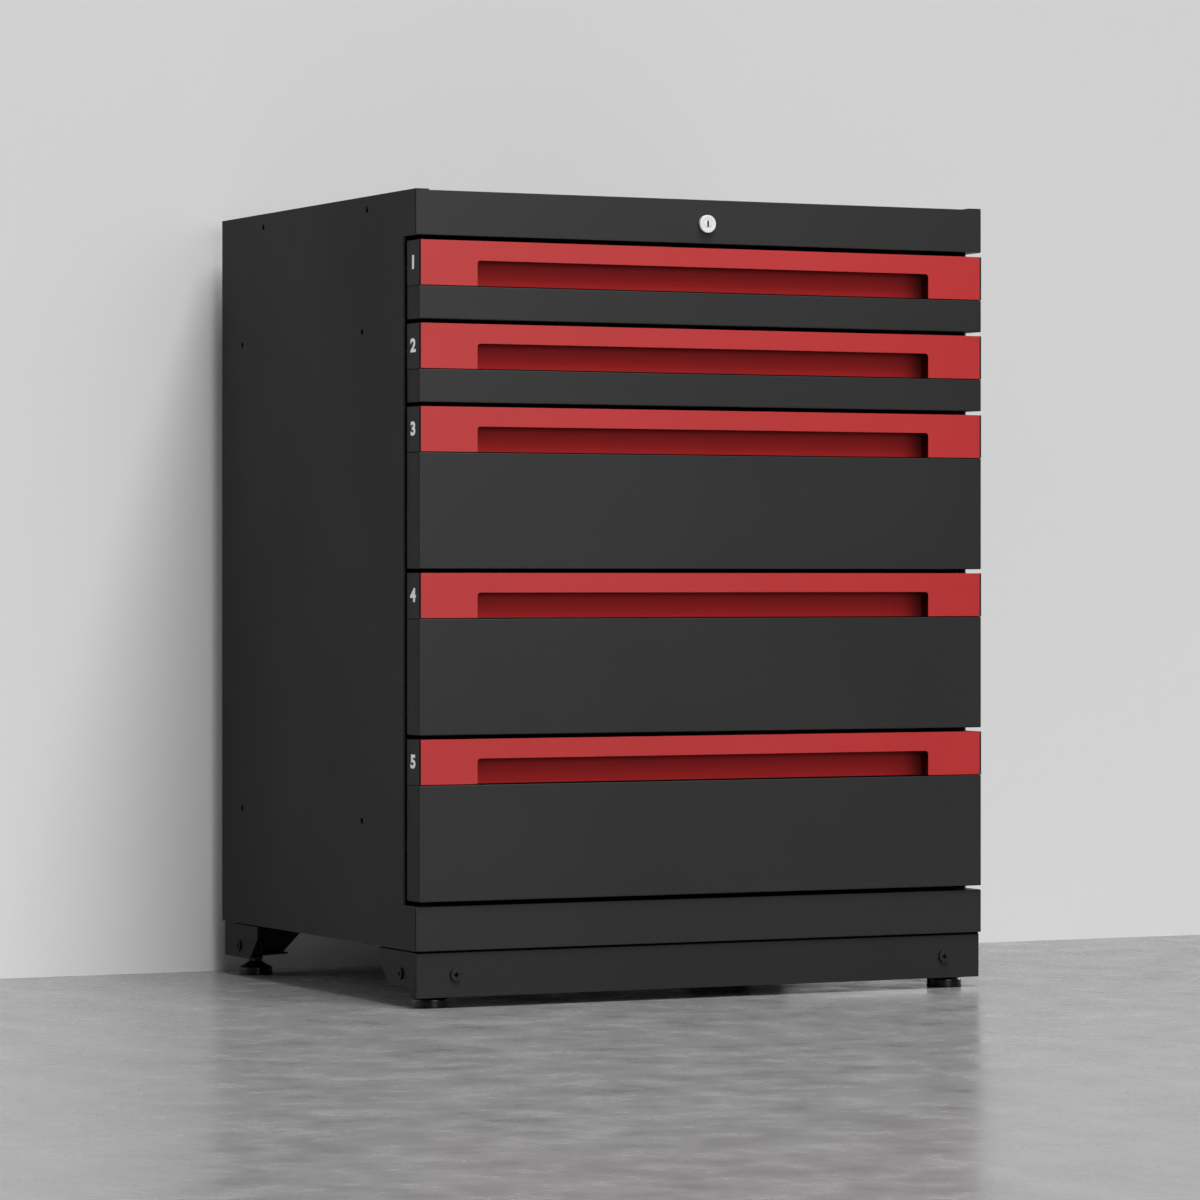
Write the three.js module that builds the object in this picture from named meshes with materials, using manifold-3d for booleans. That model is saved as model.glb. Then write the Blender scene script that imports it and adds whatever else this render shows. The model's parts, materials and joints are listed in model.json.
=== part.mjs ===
// Drawer cabinet: folded sheet-steel carcass on four levelling feet, with five
// full-extension drawers, red handle strips with a long finger recess, and one
// key lock that works a bar behind the drawers.
//
// Millimetres, +Z up, front face towards -Y. The origin is the centre of the
// bounding box at floor level. Shapes below are drawn in cabinet coordinates:
// x from the left side (0) to the right side (WIDTH), y from the front fascia's
// face (0) to the back, z from the floor. The exported group moves them to the
// origin.
import * as THREE from "three";
import { mergeVertices } from "three/addons/utils/BufferGeometryUtils.js";
import Module from "manifold-3d";

// ------------------------------------------------------------ dimensions ---
const WIDTH = 782;
const DEPTH = 626; // fascia face to rear flange
const HEIGHT = 985.2;
const LOCK_PROUD = 5; // lock face in front of the fascia face
const FRONT_PROUD = 4.4; // drawer faces in front of the fascia face
const GAP = 0.3; // between pieces that touch

const T_SIDE = 1.2; // side, top, bottom, back and kick sheet
const T_FRONT = 1.5; // drawer front, handle and drawer box sheet
const T_BRACKET = 2;

// carcass levels
const PLINTH_BOTTOM = 69.6;
const PLINTH_TOP = 123.2;
const FASCIA_BOTTOM = 929.8;
const TOP_PANEL_TOP = 983.8;
const TOP_FLANGE_BOTTOM = 984.1;
const TOP_FLANGE_WIDTH = 17.4;
const SIDE_FRONT = 2.6; // side sheet starts behind the fascia's edge
const NOTCH_FRONT = 38; // side sheet is cut back here behind the drawer fronts
const NOTCH_BOTTOM = 123.5;
const NOTCH_TOP = 929.5;
const HEM = 2.6; // folded front edge of the side sheet in the notch
const BACK_FACE = 624.5; // rear face of the back panel
const SHEET_REAR = 623; // rear end of top and bottom panels
const SIDE_HOLE_R = 4;
const SIDE_HOLES = [
  [148, 968.7],
  [484, 968.7],
  [164, 819.4],
  [555.5, 819.4],
  [164, 219.4],
  [555.5, 219.4],
];

// kick plate
const KICK_FRONT = 2.8;
const KICK_SIDE = 1.2;
const KICK_BOTTOM = 13;
const KICK_TOP = 67.2;
const KICK_FLANGE = [111.6, 38]; // top flange: clear of the brackets, and how far back
const KICK_SCREW_X = 53;
const SCREW_Z = 40.2;
const SCREW_HEAD_R = 7.3;
const SCREW_HOLE_R = 3.3;

// corner brackets and levelling feet
const BRACKET_BOTTOM = 24.5;
const BRACKET_TOP = 67.3;
const BRACKET_SIDE = 3;
const BRACKET_LEG = [84.5, 111.6]; // side leg's length along its foot and its top
const BRACKET_SLANT = 52.5; // the legs slant from the foot up to this level
const BRACKET_FULL = 36.4; // length of the full-height part of a side leg
const FOOT_X = 34;
const FOOT_IN = 30; // foot's axis behind the bracket's outer face
const STEM_R = 6;
const STEM_BORE_R = 6.4;
const BRACKET_FRONT = { y: 4.4, dir: 1, screw: 47.6 };
const BRACKET_REAR = { y: 623.4, dir: -1, screw: 50.4 };

// drawers, from the top: height of the lower edge above the floor, and height
const DRAWERS = [
  { z: 828.8, h: 95 },
  { z: 728.8, h: 95 },
  { z: 528.8, h: 195 },
  { z: 328.8, h: 195 },
  { z: 128.8, h: 195 },
];
const HANDLE_H = 55;
const HANDLE_GAP = 0.9; // between the pan below and the handle strip
const CAP_GAP = 0.8; // between the end cap's plate and the strip's face
const FRONT_INSET = 2; // each side of a drawer front
const FRONT_DEPTH = 36;
const RECESS_X = 79; // recess starts this far from the cabinet's side
const RECESS_H = 31.5;
const RECESS_DEPTH = 15.5;
const RECESS_R = 4;
const BOX_SIDE = 29; // box wall from the cabinet's side
const BOX_FRONT = 31.9;
const BOX_REAR = 577;
const BOX_BOTTOM = 8; // above the front's lower edge
const BOX_TOP_BELOW = 14; // below the front's upper edge
const BOX_RIM = 6;

// slides
const RAIL_ABOVE_BOX = 36; // rail centre above the box's underside
const RAIL_FRONT = 52;
const FIXED_REAR = 612;
const MIDDLE_LENGTH = 540;
const RUNNER_PLATE = 3; // runner panel's face from the cabinet's side
const T_RAIL = 1.5;

// lock
const LOCK_X = WIDTH / 2;
const LOCK_Z = 954;
const LOCK_FACE_R = 11;
const LOCK_BODY_R = 9.5;
const PLUG_R = 5.5;
const CAM_PIN_OFFSET = 4; // across and below the axis at rest
const CAM_PIN_R = 1.5;
const BAR_LEFT = 385;
const BAR_RIGHT = 397;
const BAR_Y = 598;
const CATCH_BELOW_RIM = 20;
const CATCH_LIP = 12;

const ROUND = 24; // sides of a small round
// ------------------------------------------------------------- materials ---
const material = (color, roughness, metalness) =>
  new THREE.MeshStandardMaterial({ color, roughness, metalness });
const M = {
  body: material(0x2f3130, 0.55, 0.0),
  front: material(0x3a3c3b, 0.5, 0.0),
  red: material(0xb32f30, 0.45, 0.0),
  cap: material(0x1c1d1d, 0.6, 0.0),
  zinc: material(0xb9bcc0, 0.35, 1.0),
  chrome: material(0xe6e7e8, 0.15, 1.0),
  screw: material(0x2a2b2b, 0.45, 0.6),
  rubber: material(0x141515, 0.7, 0.0),
  box: material(0x343635, 0.55, 0.0),
};

// --------------------------------------------------------------- helpers ---
const wasm = await Module();
wasm.setup();

function solid(geometry) {
  const g = geometry.clone();
  g.deleteAttribute("normal");
  g.deleteAttribute("uv");
  const m = mergeVertices(g, 1e-4);
  return new wasm.Manifold(
    new wasm.Mesh({
      numProp: 3,
      vertProperties: new Float32Array(m.attributes.position.array),
      triVerts: new Uint32Array(m.index.array),
    }),
  );
}

function geometryOf(s) {
  const m = s.getMesh();
  const n = m.numProp;
  const p = new Float32Array(m.numVert * 3);
  for (let i = 0; i < m.numVert; i++)
    p.set(m.vertProperties.subarray(i * n, i * n + 3), i * 3);
  const g = new THREE.BufferGeometry();
  g.setAttribute("position", new THREE.BufferAttribute(p, 3));
  g.setIndex(new THREE.BufferAttribute(new Uint32Array(m.triVerts), 1));
  const flat = g.toNonIndexed();
  flat.computeVertexNormals();
  return flat;
}

// Joins every geometry of the first list, then cuts every one of the second.
function joined(add, cut = []) {
  let s = solid(add[0]);
  for (const g of add.slice(1)) s = s.add(solid(g));
  for (const g of cut) s = s.subtract(solid(g));
  return geometryOf(s);
}

function box(x0, x1, y0, y1, z0, z1) {
  const g = new THREE.BoxGeometry(x1 - x0, y1 - y0, z1 - z0);
  return g.translate((x0 + x1) / 2, (y0 + y1) / 2, (z0 + z1) / 2);
}

// An outline drawn across an axis and drawn out along it from a0 to a1:
// across x the outline is (y, z), across y it is (x, z), across z it is (x, y).
function prism(axis, outline, a0, a1) {
  const shape =
    outline instanceof THREE.Shape
      ? outline
      : new THREE.Shape(outline.map(([u, v]) => new THREE.Vector2(u, v)));
  const g = new THREE.ExtrudeGeometry(shape, {
    depth: a1 - a0,
    bevelEnabled: false,
    steps: 1,
    curveSegments: 5,
  });
  const X = new THREE.Vector3(1, 0, 0);
  const Y = new THREE.Vector3(0, 1, 0);
  const Z = new THREE.Vector3(0, 0, 1);
  const m = new THREE.Matrix4();
  if (axis === "x") m.makeBasis(Y, Z, X).setPosition(a0, 0, 0);
  else if (axis === "y")
    m.makeBasis(X, Z, Y.clone().negate()).setPosition(0, a1, 0);
  else m.makeBasis(X, Y, Z).setPosition(0, 0, a0);
  return g.applyMatrix4(m);
}

// A round bar along an axis through (c1, c2), the two other coordinates in
// x, y, z order.
function rod(axis, c1, c2, r, a0, a1, sides = ROUND, turn = 0) {
  const g = new THREE.CylinderGeometry(r, r, a1 - a0, sides);
  g.rotateY(turn);
  const mid = (a0 + a1) / 2;
  if (axis === "x") return g.rotateZ(-Math.PI / 2).translate(mid, c1, c2);
  if (axis === "y") return g.translate(c1, mid, c2);
  return g.rotateX(Math.PI / 2).translate(c1, c2, mid);
}

// The outline of a folded sheet: the outer path and the same path moved by the
// thickness to its right-hand side, with mitred folds.
function folded(path, t) {
  const inner = [];
  const dir = (a, b) => {
    const l = Math.hypot(b[0] - a[0], b[1] - a[1]);
    return [(b[0] - a[0]) / l, (b[1] - a[1]) / l];
  };
  for (let i = 0; i < path.length; i++) {
    const before = i > 0 ? dir(path[i - 1], path[i]) : null;
    const after = i < path.length - 1 ? dir(path[i], path[i + 1]) : null;
    const n1 = before ? [before[1], -before[0]] : null;
    const n2 = after ? [after[1], -after[0]] : null;
    let n;
    if (n1 && n2) {
      const k = 1 + n1[0] * n2[0] + n1[1] * n2[1];
      n = [(n1[0] + n2[0]) / k, (n1[1] + n2[1]) / k];
    } else n = n1 || n2;
    inner.push([path[i][0] + n[0] * t, path[i][1] + n[1] * t]);
  }
  return [...path, ...inner.reverse()];
}

// The same piece for the cabinet's right side: x becomes WIDTH - x.
function handed(geometry) {
  const g = geometry.index ? geometry.toNonIndexed() : geometry.clone();
  const p = g.attributes.position;
  for (let i = 0; i < p.count; i++) p.setX(i, WIDTH - p.getX(i));
  for (let i = 0; i < p.count; i += 3) {
    const b = [p.getX(i + 1), p.getY(i + 1), p.getZ(i + 1)];
    p.setXYZ(i + 1, p.getX(i + 2), p.getY(i + 2), p.getZ(i + 2));
    p.setXYZ(i + 2, ...b);
  }
  g.computeVertexNormals();
  return g;
}

function piece(parent, name, geometry, mat, position = [0, 0, 0]) {
  const mesh = new THREE.Mesh(geometry, mat);
  mesh.name = name;
  mesh.position.set(...position);
  parent.add(mesh);
  return mesh;
}

// ----------------------------------------------------------------- carcass ---
function sidePanel() {
  const sheet = prism(
    "x",
    [
      [SIDE_FRONT, PLINTH_BOTTOM],
      [DEPTH, PLINTH_BOTTOM],
      [DEPTH, HEIGHT],
      [0, HEIGHT],
      [0, TOP_FLANGE_BOTTOM],
      [SIDE_FRONT, TOP_FLANGE_BOTTOM],
      [SIDE_FRONT, NOTCH_TOP],
      [NOTCH_FRONT, NOTCH_TOP],
      [NOTCH_FRONT, NOTCH_BOTTOM],
      [SIDE_FRONT, NOTCH_BOTTOM],
    ],
    0,
    T_SIDE,
  );
  const topFlange = box(0, TOP_FLANGE_WIDTH, 0, DEPTH, TOP_FLANGE_BOTTOM, HEIGHT);
  const bottomFlange = box(0, 15, 26, SHEET_REAR, PLINTH_BOTTOM, PLINTH_BOTTOM + T_SIDE);
  const rearFlange = box(0, 16, DEPTH - T_SIDE, DEPTH, PLINTH_BOTTOM, HEIGHT);
  const hem = box(0.6, HEM, NOTCH_FRONT, NOTCH_FRONT + 12, NOTCH_BOTTOM, NOTCH_TOP);
  const holes = SIDE_HOLES.map(([y, z]) =>
    rod("x", y, z, SIDE_HOLE_R, -1, T_SIDE + 1, 20),
  );
  return joined([sheet, topFlange, bottomFlange, rearFlange, hem], holes);
}

function topPanel() {
  const inside = T_SIDE + GAP;
  const profile = folded(
    [
      [22, FASCIA_BOTTOM + 8],
      [22, FASCIA_BOTTOM],
      [0, FASCIA_BOTTOM],
      [0, TOP_PANEL_TOP],
      [SHEET_REAR, TOP_PANEL_TOP],
      [SHEET_REAR, TOP_PANEL_TOP - 19],
    ],
    T_SIDE,
  );
  const under = TOP_PANEL_TOP - 15.1;
  return joined(
    [
      prism("x", profile, inside, WIDTH - inside),
      box(0, WIDTH, 0, T_SIDE, FASCIA_BOTTOM, TOP_PANEL_TOP),
      box(inside, inside + T_SIDE, 1, SHEET_REAR - 1, under, TOP_PANEL_TOP - 1),
      box(WIDTH - inside - T_SIDE, WIDTH - inside, 1, SHEET_REAR - 1, under, TOP_PANEL_TOP - 1),
    ],
    [rod("y", LOCK_X, LOCK_Z, LOCK_BODY_R + 0.4, -1, 4, 32)],
  );
}

function bottomPanel() {
  const inside = T_SIDE + GAP;
  const profile = folded(
    [
      [25, PLINTH_BOTTOM + 9],
      [25, PLINTH_BOTTOM],
      [0, PLINTH_BOTTOM],
      [0, PLINTH_TOP],
      [SHEET_REAR, PLINTH_TOP],
      [SHEET_REAR, PLINTH_TOP - 22],
    ],
    T_SIDE,
  );
  return joined([
    prism("x", profile, inside, WIDTH - inside),
    box(0, WIDTH, 0, T_SIDE, PLINTH_BOTTOM, PLINTH_TOP),
    box(inside, inside + T_SIDE, 1, SHEET_REAR - 1, PLINTH_TOP - 18, PLINTH_TOP - 1),
    box(WIDTH - inside - T_SIDE, WIDTH - inside, 1, SHEET_REAR - 1, PLINTH_TOP - 18, PLINTH_TOP - 1),
  ]);
}

const GUIDE_Z = [340, 815];
function backPanel() {
  const front = BACK_FACE - T_SIDE;
  const add = [
    box(2, WIDTH - 2, front, BACK_FACE, PLINTH_BOTTOM + 0.3, TOP_PANEL_TOP),
    box(16, WIDTH - 16, BACK_FACE - 22, BACK_FACE, PLINTH_BOTTOM + 0.3, PLINTH_BOTTOM + 1.5),
  ];
  const cut = [];
  // welded guides that the lock bar's upright slides in
  for (const z of GUIDE_Z) {
    add.push(box(BAR_LEFT - 4, BAR_RIGHT + 4, BAR_Y - 4, front + 0.5, z, z + 12));
    cut.push(box(BAR_LEFT - 2, BAR_RIGHT + 2, BAR_Y - 2, BAR_Y + 5, z - 1, z + 13));
    cut.push(box(BAR_LEFT - 2, BAR_RIGHT + 2, BAR_Y + 7, front, z - 1, z + 13));
  }
  return joined(add, cut);
}

function kickPlate() {
  const right = WIDTH - KICK_SIDE;
  const back = KICK_FRONT + T_SIDE;
  const [flange, reach] = KICK_FLANGE;
  const end = [
    [KICK_FRONT, KICK_BOTTOM],
    [20, KICK_BOTTOM],
    [23, KICK_TOP],
    [KICK_FRONT, KICK_TOP],
  ];
  return joined(
    [
      box(KICK_SIDE, right, KICK_FRONT, back, KICK_BOTTOM, KICK_TOP),
      prism("x", end, KICK_SIDE, KICK_SIDE + T_SIDE),
      prism("x", end, right - T_SIDE, right),
      box(KICK_SIDE, right, KICK_FRONT, KICK_FRONT + 11, KICK_BOTTOM, KICK_BOTTOM + T_SIDE),
      box(flange, WIDTH - flange, KICK_FRONT, reach, KICK_TOP - T_SIDE, KICK_TOP),
    ],
    [
      rod("y", KICK_SCREW_X, SCREW_Z, SCREW_HOLE_R, 1, 6, 16),
      rod("y", WIDTH - KICK_SCREW_X, SCREW_Z, SCREW_HOLE_R, 1, 6, 16),
    ],
  );
}

// Pan-head screw through the kick plate into a bracket, with a cross recess.
function kickScrew() {
  const head = new THREE.LatheGeometry(
    [
      [0, -2.9],
      [4, -2.75],
      [6.4, -2.3],
      [SCREW_HEAD_R, -1.3],
      [SCREW_HEAD_R, -0.3],
      [2.9, -0.3],
      [2.9, 11],
      [2.3, 12],
      [0, 12],
    ].map(([r, y]) => new THREE.Vector2(r, y)),
    20,
  );
  return joined(
    [head],
    [box(-3.2, 3.2, -4, -1.1, -0.75, 0.75), box(-0.75, 0.75, -4, -1.1, -3.2, 3.2)],
  );
}

// Corner bracket for one foot: a side leg, a cross leg, a bottom plate with the
// stem's tapered sleeve, and a top flange that is bolted under the carcass. With
// full, the side leg rises to the flange's upper face next to the corner.
function legBracket(b, full) {
  const t = T_BRACKET;
  const y = (v) => b.y + b.dir * v;
  const yBox = (x0, x1, v0, v1, z0, z1) =>
    box(x0, x1, Math.min(y(v0), y(v1)), Math.max(y(v0), y(v1)), z0, z1);
  const yPrism = (axis, outline, a0, a1) => {
    if (axis === "y") {
      const lo = Math.min(y(a0), y(a1));
      return prism("y", outline, lo, lo + Math.abs(a1 - a0));
    }
    if (axis === "x")
      return prism("x", outline.map(([v, z]) => [y(v), z]), a0, a1);
    return prism("z", outline.map(([x, v]) => [x, y(v)]), a0, a1);
  };
  const x0 = BRACKET_SIDE;
  const bottom = BRACKET_BOTTOM;
  const top = BRACKET_TOP;
  const [low, high] = BRACKET_LEG;
  const foot = y(FOOT_IN);
  const sleeve = new THREE.CylinderGeometry(7.2, 9.4, 17.5, ROUND);
  const add = [
    yPrism(
      "x",
      [
        [0, bottom],
        [low, bottom],
        [high, BRACKET_SLANT],
        [high, top],
        [0, top],
      ],
      x0,
      x0 + t,
    ),
    yPrism(
      "y",
      [
        [x0, bottom],
        [low - 1.5, bottom],
        [high - 0.6, BRACKET_SLANT],
        [high - 0.6, top],
        [x0, top],
      ],
      0,
      t,
    ),
    yPrism(
      "z",
      [
        [x0, 0],
        [low - 1, 0],
        [low - 1, 20.5],
        [60.2, 28.7],
        [44, 37.5],
        [36, 47],
        [31.7, 57.2],
        [23.5, 80.5],
        [x0, low - 0.5],
      ],
      bottom,
      bottom + t,
    ),
    // joggle and top flange
    yBox(x0 + t - 0.5, x0 + 2 * t, 1, high - 3, 58, top + t),
    yBox(x0 + 1, high - 0.6, t - 0.5, 2 * t, 58, top + t),
    yPrism(
      "z",
      [
        [x0 + t, t],
        [high - 0.6, t],
        [high - 0.6, 20],
        [52, 20],
        [24, 48],
        [24, high - 3],
        [x0 + t, high - 3],
      ],
      top,
      top + t,
    ),
    sleeve.rotateX(Math.PI / 2).translate(FOOT_X, foot, bottom + 1.5 + 8.75),
  ];
  if (full) add.push(yBox(x0, x0 + t, 0, BRACKET_FULL, top - 2, top + t));
  return joined(add, [
    rod("z", FOOT_X, foot, STEM_BORE_R, bottom - 1, 61),
    rod("x", y(b.screw), SCREW_Z, SCREW_HOLE_R, x0 - 1, x0 + t + 1, 16),
    rod("y", KICK_SCREW_X, SCREW_Z, SCREW_HOLE_R, Math.min(y(-1), y(t + 1)), Math.max(y(-1), y(t + 1)), 16),
  ]);
}

// Foot: a round pad with a socket, and a threaded stem with a hexagon.
function footPad() {
  const g = new THREE.LatheGeometry(
    [
      [0, 0],
      [21.6, 0],
      [22, 0.4],
      [22, 9.6],
      [21.3, 10.3],
      [11.5, 15.6],
      [9.2, 17.5],
      [7, 17.5],
      [7, 10],
      [0, 10],
    ].map(([r, z]) => new THREE.Vector2(r, z)),
    ROUND,
  );
  return joined([g.rotateX(Math.PI / 2)]);
}

function footStem() {
  return joined([
    rod("z", 0, 0, 5.6, 10.4, 18.6, 16),
    rod("z", 0, 0, 9.5, 18.2, 24.2, 6, Math.PI / 6),
    rod("z", 0, 0, STEM_R, 24, 65, 16),
  ]);
}

// ------------------------------------------------------------------ slides ---
const railZ = (d) => d.z + BOX_BOTTOM + RAIL_ABOVE_BOX;

// Plate inside the side panel with the five fixed channels.
function runnerPanel() {
  const x0 = RUNNER_PLATE;
  const x1 = x0 + T_RAIL;
  const add = [box(x0, x1, RAIL_FRONT, FIXED_REAR, 126, 925)];
  for (const d of DRAWERS) {
    const c = railZ(d);
    for (const s of [1, -1]) {
      const a = [c + s * 21.5, c + s * 23].sort((p, q) => p - q);
      const b = [c + s * 17.5, c + s * 22].sort((p, q) => p - q);
      add.push(box(x1 - 0.2, 17, RAIL_FRONT, FIXED_REAR, a[0], a[1]));
      add.push(box(15.5, 17, RAIL_FRONT, FIXED_REAR, b[0], b[1]));
    }
  }
  // windows in the plate between the tall drawers' channels
  const cut = DRAWERS.filter((d) => d.h > 100).map((d) =>
    box(x0 - 1, x1 + 1, 150, 520, railZ(d) + 45, railZ(d) + 105),
  );
  return joined(add, cut);
}

// Middle rail: one folded sheet that runs in the fixed channel and carries the
// drawer's own rail. Drawn at y 0 to MIDDLE_LENGTH and z about its centre.
function middleRail() {
  const half = [
    [6.5, 20],
    [14.5, 20],
    [14.5, 16.5],
    [27, 16.5],
    [27, 11.5],
    [25.5, 11.5],
    [25.5, 15],
    [13, 15],
    [13, 18.5],
    [8, 18.5],
  ];
  const outline = [...half, ...half.map(([x, z]) => [x, -z]).reverse()];
  return joined([prism("y", outline, 0, MIDDLE_LENGTH)]);
}

// ----------------------------------------------------------------- drawers ---
// Drawn with z from the front's lower edge.
function drawerBox(h) {
  const x0 = BOX_SIDE;
  const x1 = WIDTH - BOX_SIDE;
  const z0 = BOX_BOTTOM;
  const z1 = h - BOX_TOP_BELOW;
  const t = T_FRONT;
  const c = BOX_BOTTOM + RAIL_ABOVE_BOX;
  const rail = [
    [29.6, 10],
    [24, 10],
    [24, 13.5],
    [15, 13.5],
    [15, -13.5],
    [24, -13.5],
    [24, -10],
    [29.6, -10],
    [29.6, -8.5],
    [22.5, -8.5],
    [22.5, -12],
    [16.5, -12],
    [16.5, 12],
    [22.5, 12],
    [22.5, 8.5],
    [29.6, 8.5],
  ];
  const left = rail.map(([x, z]) => [x, z + c]);
  const right = rail.map(([x, z]) => [WIDTH - x, z + c]);
  const shell = joined(
    [box(x0, x1, BOX_FRONT, BOX_REAR, z0, z1)],
    [
      box(x0 + t, x1 - t, BOX_FRONT + t, BOX_REAR - t, z0 + t, z1 - t),
      box(x0 + BOX_RIM, x1 - BOX_RIM, BOX_FRONT + BOX_RIM, BOX_REAR - BOX_RIM, z0 + t, z1 + 1),
    ],
  );
  const lip = z1 - CATCH_BELOW_RIM;
  return joined([
    shell,
    prism("y", left, BOX_FRONT + 2, BOX_REAR - 3),
    prism("y", right, BOX_FRONT + 2, BOX_REAR - 3),
    box(LOCK_X - 20, LOCK_X + 20, BOX_REAR - 1, 590, lip, lip + t),
    box(LOCK_X - 20, LOCK_X + 20, 588.5, 590, lip - CATCH_LIP, lip + t),
  ]);
}

function drawerFront(h) {
  const t = T_FRONT;
  const face = -FRONT_PROUD;
  const rear = face + FRONT_DEPTH;
  const shelf = h - HANDLE_H;
  const x0 = FRONT_INSET;
  const x1 = WIDTH - FRONT_INSET;
  const pan = folded(
    [
      [rear, 12],
      [rear, 0],
      [face, 0],
      [face, shelf],
      [rear, shelf],
    ],
    t,
  );
  return joined([
    prism("x", pan, x0, x1),
    box(x0, x0 + t, face, rear, 0, shelf),
    box(x1 - t, x1, face, rear, 0, shelf),
  ]);
}

function drawerHandle(h) {
  const t = T_FRONT;
  const face = -FRONT_PROUD;
  const rear = face + FRONT_DEPTH;
  const z0 = h - HANDLE_H + HANDLE_GAP;
  const x0 = FRONT_INSET + t + CAP_GAP;
  const x1 = WIDTH - x0;
  const pocket = face + RECESS_DEPTH;
  const top = h - HANDLE_H + RECESS_H;
  const opening = new THREE.Shape();
  const r = RECESS_R;
  const [a, b] = [RECESS_X, WIDTH - RECESS_X];
  opening.moveTo(a, z0 - 1);
  opening.lineTo(b, z0 - 1);
  opening.lineTo(b, top - r);
  opening.absarc(b - r, top - r, r, 0, Math.PI / 2, false);
  opening.lineTo(a + r, top);
  opening.absarc(a + r, top - r, r, Math.PI / 2, Math.PI, false);
  opening.closePath();
  return joined(
    [
      joined([box(x0, x1, face, face + t, z0, h)], [prism("y", opening, face - 1, face + t + 1)]),
      box(x0, x1, face, rear, h - t, h),
      box(x0, x1, pocket, pocket + t, z0, h - 0.5),
      // folded down behind, where it is bolted to the drawer box
      box(x0, x1, rear - t, rear, z0, h),
      box(a - t, a, face + 0.5, pocket + 0.5, z0, h - 0.5),
      box(b, b + t, face + 0.5, pocket + 0.5, z0, h - 0.5),
    ],
  );
}

// Moulded end cap: a plate over the handle strip's end and a plug inside it.
function handleCap(h) {
  const t = T_FRONT;
  const face = -FRONT_PROUD;
  const z0 = h - HANDLE_H + GAP;
  return joined([
    box(FRONT_INSET, FRONT_INSET + t, face, face + FRONT_DEPTH, z0, h),
    box(FRONT_INSET + 1, FRONT_INSET + t + 8, face + t + GAP, face + RECESS_DEPTH - GAP, z0 + GAP, h - t - GAP),
  ]);
}

// -------------------------------------------------------------------- lock ---
function lockBarrel() {
  const bore = PLUG_R + 0.4;
  return joined([
    new THREE.LatheGeometry(
      [
        [bore, -LOCK_PROUD],
        [LOCK_FACE_R - 0.8, -LOCK_PROUD],
        [LOCK_FACE_R, -LOCK_PROUD + 0.8],
        [LOCK_FACE_R, -GAP],
        [LOCK_BODY_R, -GAP],
        [LOCK_BODY_R, 20],
        [bore, 20],
        [bore, -LOCK_PROUD],
      ].map(([r, y]) => new THREE.Vector2(r, y)),
      32,
    ),
  ]);
}

// Plug with a vertical keyway, and the cam with its pin behind the barrel.
function lockPlug() {
  return joined(
    [
      rod("y", 0, 0, PLUG_R, -LOCK_PROUD + 0.2, 21, 32),
      rod("y", 0, 0, 8, 20.4, 22.8, ROUND),
      rod("y", CAM_PIN_OFFSET, -CAM_PIN_OFFSET, CAM_PIN_R, 22.5, 29.5, 12),
    ],
    [box(-1.05, 1.05, -LOCK_PROUD - 1, 3, -4.1, 4.1)],
  );
}

// Bar from the cam's pin over the top drawer to the back, and down behind the
// drawers with a finger for each drawer's catch.
function lockBar() {
  const pinZ = LOCK_Z - CAM_PIN_OFFSET;
  const add = [
    box(BAR_LEFT, 404, 25, 27, 936, 958),
    box(BAR_LEFT, BAR_RIGHT, 25, BAR_Y + 3, 936, 939),
    box(BAR_LEFT, BAR_RIGHT, BAR_Y, BAR_Y + 3, 258, 939),
  ];
  for (const d of DRAWERS) {
    const tooth = d.z + d.h - BOX_TOP_BELOW - CATCH_BELOW_RIM - CATCH_LIP - 1.5;
    add.push(box(BAR_LEFT - 2, BAR_RIGHT + 2, 582, BAR_Y + 3, tooth - 13, tooth - 10));
    add.push(box(BAR_LEFT - 2, BAR_RIGHT + 2, 582, 585, tooth - 13, tooth));
  }
  const slot = box(LOCK_X + 1.6, LOCK_X + 8, 24, 28, pinZ - 2.1, pinZ + 2.1);
  return joined(add, [slot]);
}

// ---------------------------------------------------------------- assembly ---
const group = new THREE.Group();
const cabinet = new THREE.Group();
cabinet.position.set(-WIDTH / 2, -(DEPTH - LOCK_PROUD) / 2, 0);
group.add(cabinet);

const side = sidePanel();
piece(cabinet, "side_panel_left", side, M.body);
piece(cabinet, "side_panel_right", handed(side), M.body);
piece(cabinet, "top_panel", topPanel(), M.body);
piece(cabinet, "bottom_panel", bottomPanel(), M.body);
piece(cabinet, "back_panel", backPanel(), M.body);
piece(cabinet, "kick_plate", kickPlate(), M.body);

const screw = kickScrew();
for (const [name, x] of [
  ["left", KICK_SCREW_X],
  ["right", WIDTH - KICK_SCREW_X],
])
  piece(cabinet, "kick_plate_screw_" + name, screw, M.screw, [x, KICK_FRONT, SCREW_Z]);

const pad = footPad();
const stem = footStem();
for (const [end, b, leftFull] of [
  ["front", BRACKET_FRONT, false],
  ["rear", BRACKET_REAR, true],
]) {
  piece(cabinet, "leg_bracket_" + end + "_left", legBracket(b, leftFull), M.body);
  piece(cabinet, "leg_bracket_" + end + "_right", handed(legBracket(b, !leftFull)), M.body);
  for (const [name, x] of [
    ["left", FOOT_X],
    ["right", WIDTH - FOOT_X],
  ]) {
    const foot = new THREE.Group();
    foot.position.set(x, b.y + b.dir * FOOT_IN, 0);
    cabinet.add(foot);
    piece(foot, "foot_pad_" + end + "_" + name, pad, M.rubber);
    piece(foot, "foot_stem_" + end + "_" + name, stem, M.zinc);
  }
}

const runner = runnerPanel();
piece(cabinet, "runner_panel_left", runner, M.zinc);
piece(cabinet, "runner_panel_right", handed(runner), M.zinc);

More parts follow.
